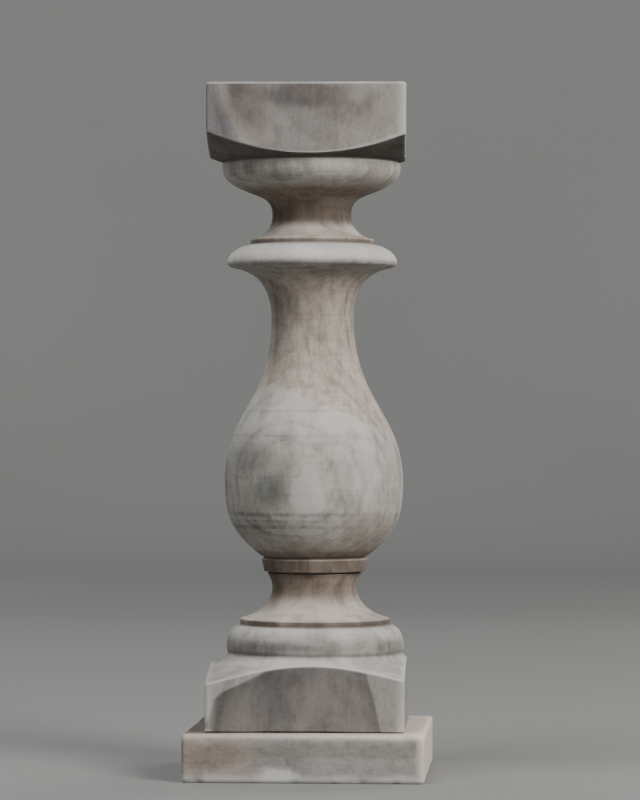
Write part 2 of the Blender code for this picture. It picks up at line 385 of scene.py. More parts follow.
    # The underside is hollow in its middle, so the joint opens there
    x, y = turned(tree, calc(tree, "MULTIPLY", x, share), calc(tree, "MULTIPLY", y, share), twist)
    x = calc(tree, "MULTIPLY_ADD", calc(tree, "SUBTRACT", x, off_axis), inset, axis)
    y = calc(tree, "MULTIPLY", y, inset)
    off_middle = calc(tree, "ABSOLUTE", calc(tree, "ADD", x, 0.004))
    lift = calc(tree, "MULTIPLY", between(tree, off_middle, 0.022, 0.05, 1.0, 0.0),
                between(tree, height, 0.0, 0.01, 1.0, 0.0))
    level = calc(tree, "ADD", height, calc(tree, "MULTIPLY", lift, given["Underside Hollow"]))
    at = vector(tree, x, y, calc(tree, "ADD", level, given["Floor"]))
    on_face = between(tree, over, -0.001, 0.002)

    mesh = store(tree, grid.outputs["Mesh"], "on_face", on_face)
    mesh = store(tree, mesh, "edge", at_edge)
    mesh = store(tree, mesh, "hollow", hollow)
    mesh = node(tree, "GeometryNodeSetPosition", Geometry=mesh, Position=at).outputs[0]
    mesh = node(tree, "GeometryNodeMergeByDistance", Geometry=mesh, Distance=0.00001).outputs[0]

    # Soft unevenness, always inwards
    where = tree.nodes.new("GeometryNodeInputPosition").outputs[0]
    swell = node(tree, "ShaderNodeTexNoise", Vector=where, Scale=17.0, Detail=4.0, Roughness=0.6).outputs[0]
    push = calc(tree, "MULTIPLY", calc(tree, "MULTIPLY", swell, given["Unevenness"]), -1.0)
    normal = tree.nodes.new("GeometryNodeInputNormal").outputs[0]
    inwards = node(tree, "ShaderNodeVectorMath", {"operation": "SCALE"}, Vector=normal, Scale=push).outputs[0]
    mesh = node(tree, "GeometryNodeSetPosition", Geometry=mesh, Offset=inwards).outputs[0]
    normal = tree.nodes.new("GeometryNodeInputNormal").outputs[0]
    mesh = store(tree, mesh, "upward", node(tree, "ShaderNodeSeparateXYZ", Vector=normal).outputs["Z"])
    mesh = node(tree, "GeometryNodeSetShadeSmooth", Geometry=mesh).outputs[0]
    mesh = node(tree, "GeometryNodeRealizeInstances", Geometry=mesh).outputs[0]
    mesh = node(tree, "GeometryNodeSetMaterial", Geometry=mesh, Material=given["Finish"]).outputs[0]
    tree.links.new(mesh, done.inputs[0])
    return tree


def turned_timber(finish):
    """The baluster. Its outline's points hold radius, inset towards the axis (on the two ends) and height."""
    points = outline()
    depths = hollows(points)
    ends = [ring / END_RINGS for ring in range(END_RINGS)]
    rows = [(CORNER_RADIUS, inset, 0) for inset in ends]
    rows += [(point.x, 1, point.y) for point in points]
    rows += [(CORNER_RADIUS, inset, points[-1].y) for inset in reversed(ends)]
    mesh = bpy.data.meshes.new("outline")
    mesh.from_pydata(rows, [(i, i + 1) for i in range(len(rows) - 1)], [])
    depths = [0.0] * END_RINGS + depths + [0.0] * END_RINGS
    mesh.attributes.new("hollow", "FLOAT", "POINT").data.foreach_set("value", depths)
    maker = bpy.data.objects.new("maker", mesh)
    bpy.context.scene.collection.objects.link(maker)
    spin = maker.modifiers.new("turned timber", "NODES")
    spin.node_group = timber_tree()
    for socket in spin.node_group.interface.items_tree:
        if socket.in_out == "INPUT" and socket.name in TIMBER_INPUTS:
            spin[socket.identifier] = finish if socket.name == "Finish" else TIMBER_INPUTS[socket.name][1]
    return plain_piece("baluster", maker)


def plain_piece(name, maker):
    """Turns what a maker object's modifiers give into a plain mesh piece, and removes the maker."""
    bpy.context.view_layer.update()
    graph = bpy.context.evaluated_depsgraph_get()
    mesh = bpy.data.meshes.new_from_object(maker.evaluated_get(graph))
    mesh.name = name
    bpy.data.objects.remove(maker)
    piece = bpy.data.objects.new(name, mesh)
    bpy.context.scene.collection.objects.link(piece)
    return piece


def board(finish):
    """The plinth board: a square board with worn edges and slightly uneven faces."""
    size = BOARD_HIGH - BOARD_LOW
    shape = bmesh.new()
    bmesh.ops.create_cube(shape, size=1)
    bmesh.ops.scale(shape, vec=size, verts=shape.verts)
    bmesh.ops.translate(shape, vec=(BOARD_LOW + BOARD_HIGH) / 2, verts=shape.verts)
    bmesh.ops.bevel(shape, geom=shape.edges[:], offset=BOARD_ROUNDING, segments=4, profile=0.5, affect="EDGES")
    long_edges = [edge for edge in shape.edges if edge.calc_length() > 0.1]
    bmesh.ops.subdivide_edges(shape, edges=long_edges, cuts=70, use_grid_fill=True)
    tall_edges = [edge for edge in shape.edges if edge.calc_length() > 0.02]
    bmesh.ops.subdivide_edges(shape, edges=tall_edges, cuts=16, use_grid_fill=True)
    shape.normal_update()
    middle = (BOARD_LOW + BOARD_HIGH) / 2
    for vert in shape.verts:
        swell = noise.fractal(vert.co * 22, 0.7, 2.0, 4)
        to_edge = min(size.x / 2 - abs(vert.co.x - middle.x), size.y / 2 - abs(vert.co.y - middle.y))
        to_level = min(vert.co.z - BOARD_LOW.z, BOARD_HIGH.z - vert.co.z)
        near = max(0.0, 1 - math.hypot(max(to_edge, 0), max(to_level, 0)) / BOARD_NICK_REACH)
        nick = max(0.0, noise.noise(vert.co * 95 + Vector((3.1, 0.4, 7.7))) - 0.18) * 0.004 * near
        vert.co -= vert.normal * (max(0.0, BOARD_UNEVENNESS * (swell + 0.9)) + nick)
    for vert in shape.verts:
        if vert.co.z < BOARD_LOW.z + 0.0008:
            vert.co.z = BOARD_LOW.z
    mesh = bpy.data.meshes.new("board")
    shape.to_mesh(mesh)
    shape.free()
    mesh.shade_smooth()
    mesh.materials.append(finish)
    piece = bpy.data.objects.new("board", mesh)
    bpy.context.scene.collection.objects.link(piece)
    return piece


# Colours, as the surface looks in even light; some of them also paint light or shade, as noted
PALE = (0.545, 0.512, 0.478, 1)         # bleached outer wood
BEIGE = (0.555, 0.485, 0.425, 1)        # the pinkish inner wood of the necks
FACE = (0.265, 0.247, 0.235, 1)         # the stained faces of both blocks
FACE_DARK = (0.155, 0.146, 0.144, 1)
FACE_PINK = (0.300, 0.265, 0.243, 1)
FACE_GREY = (0.140, 0.139, 0.145, 1)    # the top block's outer wood
FACE_LIGHT = (0.425, 0.410, 0.392, 1)   # the base block's outer wood
FACE_RIGHT_AND_LIGHT = (0.405, 0.366, 0.335, 1)   # the top block's right: partly its paler wood, partly painted light from the right
BOARD = (0.385, 0.362, 0.343, 1)
BOARD_DARK = (0.300, 0.283, 0.272, 1)
BOARD_PINK = (0.390, 0.335, 0.295, 1)
END_GRAIN_AND_LIGHT = (0.800, 0.695, 0.605, 1)    # the board's right end: partly bleached end grain, partly painted light from the right
WASH_AND_LIGHT = (0.680, 0.665, 0.640, 1)         # traces of pale wash, also used for painted light on upward slopes and edges
PINK_TOP_LIGHT = (0.760, 0.680, 0.615, 1)    # painted light from above over the pinkish wood, in a pale wash's colour
UNDERSIDE_SHADE = (0.050, 0.038, 0.030, 1)        # painted shade on undersides
# dirt and painted shade in the cuts and seams
DIRT_AND_SHADE = (0.100, 0.078, 0.062, 1)

# The growth rings: where the log's pith runs, how far it bows, the level of its bow, and the rings' spacing
PITH = (0.0227, 0.1025)
PITH_BOW = 0.025
PITH_LEVEL = 0.2547
BOARD_PITH = (0.07, 0.11)
BOARD_PITH_BOW = 0.03
BOARD_PITH_LEVEL = 0.05
BOW_REACH = 0.24               # the bow is full this far from its level
RING_SPACING = 0.0068

# Tints that the colour beneath is multiplied by
LATE_WOOD = (0.66, 0.63, 0.60, 1)
GREY_GREEN = (0.54, 0.575, 0.58, 1)
BROWN = (0.67, 0.62, 0.58, 1)
SHADE = (0.50, 0.48, 0.48, 1)
STREAK = (0.78, 0.76, 0.74, 1)

# Smudges on the front, some of them painted shade on the left: middle, reach, tint and share
SMUDGES = (
    ((0.002, -0.086, 0.588), (0.036, 0.030, 0.015), SHADE, 0.9),         # top block's upper middle
    ((-0.050, -0.086, 0.578), (0.026, 0.030, 0.026), BROWN, 0.8),        # top block's left
    ((0.036, -0.086, 0.572), (0.040, 0.030, 0.016), BROWN, 0.4),
    ((-0.021, -0.075, 0.524), (0.011, 0.030, 0.013), GREY_GREEN, 0.6),   # bowl
    ((-0.066, -0.040, 0.521), (0.034, 0.060, 0.016), GREY_GREEN, 0.2),
    ((-0.048, -0.062, 0.277), (0.028, 0.050, 0.014), GREY_GREEN, 0.65),  # belly's left
    ((-0.030, -0.072, 0.248), (0.015, 0.040, 0.019), GREY_GREEN, 0.95),
    # belly's left edge: painted shade
    ((-0.077, -0.015, 0.258), (0.007, 0.050, 0.036), SHADE, 0.8),
    ((-0.034, -0.020, 0.395), (0.017, 0.040, 0.055), GREY_GREEN, 0.6),   # the necks' left: painted shade
    ((-0.036, -0.018, 0.166), (0.015, 0.040, 0.024), SHADE, 0.75),
    ((0.055, -0.050, 0.212), (0.030, 0.050, 0.020), BROWN, 0.6),         # belly's lower right
    ((0.060, -0.060, 0.522), (0.030, 0.050, 0.018), STREAK, 0.9),
    ((-0.030, -0.070, 0.112), (0.062, 0.060, 0.008), GREY_GREEN, 0.9),   # torus
    ((-0.075, -0.025, 0.117), (0.016, 0.050, 0.014), GREY_GREEN, 0.5),
    ((0.072, -0.035, 0.112), (0.020, 0.050, 0.007), GREY_GREEN, 0.7),
    ((-0.076, -0.060, 0.096), (0.034, 0.040, 0.018), STREAK, 0.95),      # base shoulder's left: painted shade
)
WASHED = (
    ((0.004, -0.078, 0.247), (0.017, 0.030, 0.026), 0.40),               # belly's middle
    ((0.050, -0.060, 0.268), (0.018, 0.040, 0.036), 0.40),               # belly's right
    ((0.000, -0.080, 0.100), (0.040, 0.030, 0.014), 0.30),               # base shoulder
)
# Tool lines round the belly: level, half width and share
LATHE_LINES = (
    (0.2276, 0.0026, 0.90), (0.2222, 0.0014, 0.40), (0.2169, 0.0022, 0.75),
    (0.3173, 0.0022, 0.60), (0.2958, 0.0020, 0.50), (0.2893, 0.0018, 0.30),
)
# Dirt and painted shade in the seams: level, half width and share
SEAM_DIRT_AND_SHADE = ((0.1328, 0.0034, 0.82), (0.1925, 0.0050, 0.60), (0.4655, 0.0026, 0.60))


def mix(tree, share, low, high):
    """A colour between two others."""
    made = node(tree, "ShaderNodeMix", {"data_type": "RGBA"})
    feed(tree, made.inputs["Factor"], share)
    feed(tree, made.inputs[6], low)
    feed(tree, made.inputs[7], high)
    return made.outputs[2]


def tinted(tree, share, colour, tint):
    """The colour multiplied by a tint, by the tint's share."""
    made = node(tree, "ShaderNodeMix", {"data_type": "RGBA", "blend_type": "MULTIPLY"})
    feed(tree, made.inputs["Factor"], share)
    feed(tree, made.inputs[6], colour)
    feed(tree, made.inputs[7], tint)
    return made.outputs[2]


def patch(tree, place, middle, reach, torn):
    """A soft patch with a torn edge: 1 in its middle, 0 outside."""
    local = node(tree, "ShaderNodeMapping", {"vector_type": "TEXTURE"}, Vector=place, Location=middle, Scale=reach)
    away = node(tree, "ShaderNodeVectorMath", {"operation": "LENGTH"}, Vector=local.outputs[0])
    away = calc(tree, "ADD", away.outputs["Value"], calc(tree, "MULTIPLY_ADD", torn, 1.4, -0.7))
    return between(tree, away, 0.45, 1.15, 1.0, 0.0)


def level_line(tree, height, level, half_width):
    """A soft line round the timber at a level."""
    away = calc(tree, "ABSOLUTE", calc(tree, "SUBTRACT", height, level))
    return between(tree, away, half_width * 0.3, half_width, 1.0, 0.0)


def speckle(tree, place, scale, detail=3.0, roughness=0.55, stretch=None):
    """Noise from 0 to 1 about a half; stretch squeezes it along X, Y and Z."""
    if stretch:
        place = node(tree, "ShaderNodeMapping", Vector=place, Scale=stretch).outputs[0]
    return node(tree, "ShaderNodeTexNoise", Vector=place, Scale=scale, Detail=detail,
                Roughness=roughness).outputs[0]


def growth(tree, place, pith, bow, level):
    """Distance from the log's pith, whose line bows towards the front at both ends."""
    at = node(tree, "ShaderNodeSeparateXYZ", Vector=place)
    rise = calc(tree, "DIVIDE", calc(tree, "SUBTRACT", at.outputs["Z"], level), BOW_REACH)
    back = calc(tree, "MULTIPLY_ADD", calc(tree, "MULTIPLY", rise, rise), -bow, pith[1])
    aside = calc(tree, "SUBTRACT", at.outputs["X"], pith[0])
    deep = calc(tree, "SUBTRACT", at.outputs["Y"], back)
    return calc(tree, "SQRT", calc(tree, "ADD", calc(tree, "MULTIPLY", aside, aside),
                                   calc(tree, "MULTIPLY", deep, deep)))


def rings(tree, distance, spacing, uneven):
    """Thin dark lines of late wood, closer or wider from year to year."""
    years = calc(tree, "DIVIDE", distance, spacing)
    drift = speckle(tree, vector(tree, years, 0.0, 0.0), 0.55, 1.0)
    years = calc(tree, "ADD", years, calc(tree, "MULTIPLY", drift, uneven))
    part = calc(tree, "FRACT", years)
    line = calc(tree, "MULTIPLY", between(tree, part, 0.30, 0.80), between(tree, part, 0.80, 1.0, 1.0, 0.0))
    strength = speckle(tree, vector(tree, calc(tree, "FLOOR", years), 3.3, 0.0), 1.7, 0.0)
    return calc(tree, "MULTIPLY", line, between(tree, strength, 0.32, 0.62, 0.15, 1.0))


def warped(tree, place, scale, amount):
    """The place, shifted a little by soft noise."""
    cloud = node(tree, "ShaderNodeTexNoise", Vector=place, Scale=scale, Detail=2.0)
    centred = node(tree, "ShaderNodeVectorMath", {"operation": "SUBTRACT"})
    feed(tree, centred.inputs[0], cloud.outputs["Color"])
    feed(tree, centred.inputs[1], (0.5, 0.5, 0.5))
    shifted = node(tree, "ShaderNodeVectorMath", {"operation": "MULTIPLY_ADD"})
    feed(tree, shifted.inputs[0], centred.outputs[0])
    feed(tree, shifted.inputs[1], (amount, amount, amount))
    feed(tree, shifted.inputs[2], place)
    return shifted.outputs[0]


def new_finish(name):
    material = bpy.data.materials.new(name)
    material.use_nodes = True
    tree = material.node_tree
    shader = tree.nodes["Principled BSDF"]
    shader.inputs["Metallic"].default_value = 0.0
    shader.inputs["IOR"].default_value = 1.45
    place = tree.nodes.new("ShaderNodeTexCoord").outputs["Object"]
    return material, tree, shader, place


def bump(tree, height, strength, distance, under=None):
    made = node(tree, "ShaderNodeBump", Height=height, Strength=strength, Distance=distance)
    if under is not None:
        tree.links.new(under, made.inputs["Normal"])
    return made.outputs[0]


def kept(tree, name):
    return node(tree, "ShaderNodeAttribute", {"attribute_name": name}).outputs["Fac"]


def baluster_finish():
    """Bleached, weathered wood: growth rings, a paler outer zone, stained block faces, dirt in the cuts; with painted
    shade on undersides, in the cuts, the small necks and the left, and painted light on upward slopes and edges.
    """
    material, tree, shader, place = new_finish("weathered_wood")
    at = node(tree, "ShaderNodeSeparateXYZ", Vector=place)
    x, z = at.outputs["X"], at.outputs["Z"]
    soft = warped(tree, place, 14.0, 0.010)
    distance = growth(tree, soft, PITH, PITH_BOW, PITH_LEVEL)
    on_face, edge, hollow = kept(tree, "on_face"), kept(tree, "edge"), kept(tree, "hollow")
    upward = kept(tree, "upward")
    torn = speckle(tree, place, 42.0, 4.0, 0.62, (1, 1, 0.6))
    mottle = speckle(tree, place, 95.0, 4.0, 0.62, (1, 1, 0.5))
    cloud = speckle(tree, place, 14.0, 2.5, 0.5)
    grit = speckle(tree, place, 330.0, 2.0, 0.6)

    # Pinkish inner wood in the necks, whiter outer wood below a slanting line above the belly
    far_left = calc(tree, "MAXIMUM", calc(tree, "MULTIPLY_ADD", x, -1.0, -0.032), 0.0)
    line = calc(tree, "SUBTRACT", calc(tree, "MULTIPLY_ADD", x, -0.42, 0.3275), far_left)
    above = calc(tree, "ADD", calc(tree, "SUBTRACT", z, line), calc(tree, "MULTIPLY_ADD", torn, 0.012, -0.006))
    inner = between(tree, above, -0.002, 0.003)
    inner = calc(tree, "MULTIPLY", inner, between(tree, z, 0.43, 0.445, 1.0, 0.0))
    neck = inner
    foot = calc(tree, "MULTIPLY", between(tree, z, 0.128, 0.136), between(tree, z, 0.188, 0.206, 1.0, 0.0))
    upper = calc(tree, "MULTIPLY", between(tree, z, 0.462, 0.468), between(tree, z, 0.508, 0.516, 1.0, 0.0))
    inner = calc(tree, "MAXIMUM", inner, calc(tree, "MAXIMUM", foot, upper))
    colour = mix(tree, inner, PALE, BEIGE)

    # Greyer on the belly; painted shade in the two small necks (most under the bowl), under the collar and at the
    # belly's foot, where the parts above shade them
    belly = calc(tree, "MULTIPLY", between(tree, z, 0.19, 0.21), between(tree, above, -0.002, 0.003, 0.40, 0.0))
    colour = tinted(tree, belly, colour, STREAK)
    neck_shade = calc(tree, "MULTIPLY", between(tree, z, 0.140, 0.156), between(tree, z, 0.186, 0.204, 1.0, 0.0))
    neck_shade = calc(tree, "MAXIMUM", neck_shade, calc(tree, "MULTIPLY", between(tree, z, 0.475, 0.487), upper))
    colour = tinted(tree, calc(tree, "MULTIPLY", neck_shade, 0.92), colour, BROWN)
    under_bowl = calc(tree, "MULTIPLY", between(tree, z, 0.475, 0.486), upper)
    dark = calc(tree, "MULTIPLY", under_bowl, between(tree, z, 0.494, 0.504, 1.0, 0.60))
    dark = calc(tree, "MAXIMUM", dark, calc(tree, "MULTIPLY", level_line(tree, z, 0.180, 0.016), 0.75))
    dark = calc(tree, "MAXIMUM", dark, between(tree, z, 0.19, 0.212, 0.35, 0.0))
    dark = calc(tree, "MAXIMUM", dark, calc(tree, "MULTIPLY", level_line(tree, z, 0.432, 0.045), 0.40))
    colour = tinted(tree, dark, colour, SHADE)
    # more painted shade on the upper neck, under the bowl
    colour = tinted(tree, calc(tree, "MULTIPLY", level_line(tree, z, 0.487, 0.012), 0.30), colour, SHADE)

    # Stained faces: clouded, darkest at the heart's rim, with other wood beside it: paler at the foot,
    # darker on the top block
    stained = mix(tree, between(tree, cloud, 0.36, 0.60), FACE_DARK, FACE)
    blush = speckle(tree, place, 24.0, 2.0, 0.5)
    stained = mix(tree, between(tree, blush, 0.46, 0.60, 0.0, 0.7), stained, FACE_PINK)
    heart = between(tree, z, 0.068, 0.096, 0.2005, 0.186)
    heart = between(tree, z, 0.2, 0.5, heart, 0.170)
    rim = calc(tree, "SUBTRACT", distance, heart)
    at_foot = between(tree, z, 0.2, 0.4, 1.0, 0.0)
    right_rim = calc(tree, "MULTIPLY_ADD", z, 0.24, calc(tree, "SUBTRACT", x, 0.0756))
    right_rim = calc(tree, "MULTIPLY_ADD", torn, 0.010, calc(tree, "SUBTRACT", right_rim, 0.005))
    at_top = calc(tree, "SUBTRACT", 1.0, at_foot)
    right_rim = calc(tree, "SUBTRACT", right_rim, at_top)
    rim = calc(tree, "MAXIMUM", rim, right_rim)
    outside = between(tree, rim, -0.001, 0.002)
    stained = tinted(tree, calc(tree, "MULTIPLY", between(tree, rim, -0.014, -0.002, 0.0, 0.6), at_foot),
                     stained, GREY_GREEN)
    # the top block's right is paler: partly its wood, partly painted light from the right
    lit_to_right = between(tree, x, 0.01, 0.075, 0.0, 0.60)
    stained = mix(tree, calc(tree, "MULTIPLY", lit_to_right, at_top), stained, FACE_RIGHT_AND_LIGHT)
    stained = tinted(tree, calc(tree, "MULTIPLY", at_foot, 0.42), stained, SHADE)
    beside = mix(tree, at_foot, FACE_GREY, FACE_LIGHT)
    beside = tinted(tree, between(tree, x, 0.0, 0.05, 0.0, 0.9), beside, STREAK)
    stained = mix(tree, outside, stained, beside)
    rim_line = between(tree, calc(tree, "ABSOLUTE", rim), 0.0, 0.006, 0.26, 0.0)
    stained = mix(tree, calc(tree, "MULTIPLY", rim_line, at_top), stained, WASH_AND_LIGHT)
    colour = mix(tree, calc(tree, "MULTIPLY", on_face, 0.93), colour, stained)

    # Growth rings, fibres, and streaks left by the lathe
    ring = rings(tree, distance, RING_SPACING, 1.6)
    broken = between(tree, torn, 0.40, 0.60, 0.4, 1.0)
    broken = calc(tree, "MULTIPLY", broken, between(tree, on_face, 0.0, 1.0, 0.70, 0.35))
    colour = tinted(tree, calc(tree, "MULTIPLY", ring, broken), colour, LATE_WOOD)
    fibre = speckle(tree, soft, 1.0, 3.0, 0.65, (480, 480, 26))
    colour = tinted(tree, calc(tree, "MULTIPLY", between(tree, fibre, 0.48, 0.70, 0.0, 0.35),
                               between(tree, on_face, 0.0, 1.0, 1.0, 0.6)), colour, BROWN)
    strand = speckle(tree, soft, 1.0, 2.5, 0.6, (150, 150, 9))
    strand = calc(tree, "MULTIPLY", between(tree, strand, 0.46, 0.66), calc(tree, "MULTIPLY_ADD", inner, 0.4, 0.12))
    colour = tinted(tree, strand, colour, BROWN)
    spun = speckle(tree, place, 1.0, 3.0, 0.6, (18, 18, 240))
    off_face = calc(tree, "SUBTRACT", 1.0, on_face)
    streaks = calc(tree, "MULTIPLY", between(tree, spun, 0.48, 0.68, 0.0, 0.5), off_face)
    colour = tinted(tree, streaks, colour, STREAK)

    # Darker and greener towards the left: painted shade on the side away from the light. Weathering: mottled all
    # over, in smudges on the front, some of them painted shade
    left_shade = between(tree, x, -0.095, 0.02, 1.0, 0.0)
    on_belly = calc(tree, "MULTIPLY", between(tree, z, 0.19, 0.21), between(tree, z, 0.30, 0.36, 1.0, 0.0))
    colour = tinted(tree, calc(tree, "MULTIPLY", left_shade, calc(tree, "MULTIPLY_ADD", on_belly, 0.50, 0.12)),
                    colour, GREY_GREEN)
    colour = tinted(tree, calc(tree, "MULTIPLY", between(tree, torn, 0.46, 0.66, 0.0, 0.45),
                               between(tree, on_face, 0.0, 1.0, 1.0, 0.4)), colour, GREY_GREEN)
    colour = tinted(tree, between(tree, mottle, 0.44, 0.68, 0.0, 0.75), colour, STREAK)
    colour = tinted(tree, between(tree, grit, 0.42, 0.66, 0.0, 0.4), colour, STREAK)
    aside = calc(tree, "MULTIPLY", between(tree, calc(tree, "ABSOLUTE", x), 0.035, 0.075), off_face)
    aside = calc(tree, "MULTIPLY", aside, between(tree, z, 0.104, 0.109, 1.0, 0.0))
    colour = tinted(tree, aside, colour, STREAK)
    for middle, reach, tint, share in SMUDGES:
        smudge = patch(tree, place, middle, reach, torn)
        colour = tinted(tree, calc(tree, "MULTIPLY", smudge, share), colour, tint)
    for level, half_width, share in LATHE_LINES:
        wavy = calc(tree, "MULTIPLY_ADD", torn, 0.003, calc(tree, "SUBTRACT", z, 0.0015))
        cut = calc(tree, "MULTIPLY", level_line(tree, wavy, level, half_width),
                   between(tree, x, 0.005, 0.05, 1.0, 0.2))
        cut = calc(tree, "MULTIPLY", cut, between(tree, x, -0.078, -0.058, 0.35, 1.0))
        cut = calc(tree, "MULTIPLY", cut, between(tree, mottle, 0.36, 0.52, 0.35, 1.0))
        colour = tinted(tree, calc(tree, "MULTIPLY", cut, share), colour, GREY_GREEN)

    # Paler on upward slopes: painted light from above, weaker on the left and thinner on the top, where the rings
    # show through. Pale wash on the collar; paler worn edges, partly wear and partly painted highlight; patches of
    # pale wash
    up = calc(tree, "MULTIPLY", between(tree, upward, 0.10, 0.6, 0.0, 0.55),
              between(tree, calc(tree, "MAXIMUM", neck, under_bowl), 0.0, 1.0, 1.0, 0.25))
    end_grain = between(tree, z, 0.5985, 0.5996)
    up = calc(tree, "MULTIPLY", up, between(tree, end_grain, 0.0, 1.0, 1.0, 0.55))
    up = calc(tree, "MULTIPLY", up, between(tree, x, -0.095, -0.040, 0.65, 1.0))
    pale = mix(tree, inner, WASH_AND_LIGHT, PINK_TOP_LIGHT)
    colour = mix(tree, calc(tree, "MULTIPLY", up, between(tree, torn, 0.35, 0.6, 1.0, 0.5)), colour, pale)
    end_rings = calc(tree, "MULTIPLY", end_grain, between(tree, ring, 0.0, 1.0, 0.0, 0.8))
    colour = tinted(tree, end_rings, colour, LATE_WOOD)
    collar = calc(tree, "MULTIPLY", between(tree, z, 0.446, 0.450), between(tree, z, 0.4625, 0.464, 1.0, 0.0))
    colour = mix(tree, calc(tree, "MULTIPLY", collar, 0.5), colour, WASH_AND_LIGHT)
    # worn edges: partly wear, partly a painted highlight where the edges catch the light, more towards the right
    worn = calc(tree, "MAXIMUM", between(tree, x, -0.06, 0.05, 0.1, 0.5), calc(tree, "MULTIPLY", at_foot, 0.4))
    colour = mix(tree, calc(tree, "MULTIPLY", edge, worn), colour, WASH_AND_LIGHT)
    for middle, reach, share in WASHED:
        washed = calc(tree, "MULTIPLY", patch(tree, place, middle, reach, torn), off_face)
        colour = mix(tree, calc(tree, "MULTIPLY", washed, share), colour, WASH_AND_LIGHT)

    # Painted shade on undersides, and dirt with painted shade in the cuts and seams
    under = between(tree, calc(tree, "ADD", upward, calc(tree, "MULTIPLY_ADD", torn, 0.3, -0.15)), -0.97, -0.55,
                    1.0, 0.0)
    under = calc(tree, "MULTIPLY", under, between(tree, x, -0.08, 0.08, 0.90, 1.0))
    colour = mix(tree, calc(tree, "MULTIPLY", under, between(tree, z, 0.528, 0.536, 0.25, 0.96)), colour, UNDERSIDE_SHADE)
    # dirt and painted shade in the outline's hollows
    dirt_and_shade = between(tree, calc(tree, "ADD", hollow, calc(tree, "MULTIPLY", torn, 0.3)), 0.35, 1.1)
    colour = mix(tree, calc(tree, "MULTIPLY", dirt_and_shade, 0.55), colour, DIRT_AND_SHADE)
    for level, half_width, share in SEAM_DIRT_AND_SHADE:
        seam_dirt_and_shade = calc(tree, "MULTIPLY", level_line(tree, z, level, half_width), between(tree, torn, 0.3, 0.6, 0.5, 1.0))
        colour = mix(tree, calc(tree, "MULTIPLY", seam_dirt_and_shade, share), colour, DIRT_AND_SHADE)

    tree.links.new(colour, shader.inputs["Base Color"])
    tree.links.new(between(tree, mottle, 0.3, 0.7, 0.66, 0.86), shader.inputs["Roughness"])
    shader.inputs["Specular IOR Level"].default_value = 0.3
    grain = bump(tree, fibre, 0.25, 0.0006)
    grain = bump(tree, spun, calc(tree, "MULTIPLY", off_face, 0.25), 0.0008, grain)
    grain = bump(tree, ring, 0.22, 0.0005, grain)
    grain = bump(tree, mottle, 0.4, 0.0012, grain)
    grain = bump(tree, torn, 0.35, 0.0025, grain)
    tree.links.new(grain, shader.inputs["Normal"])
    return material


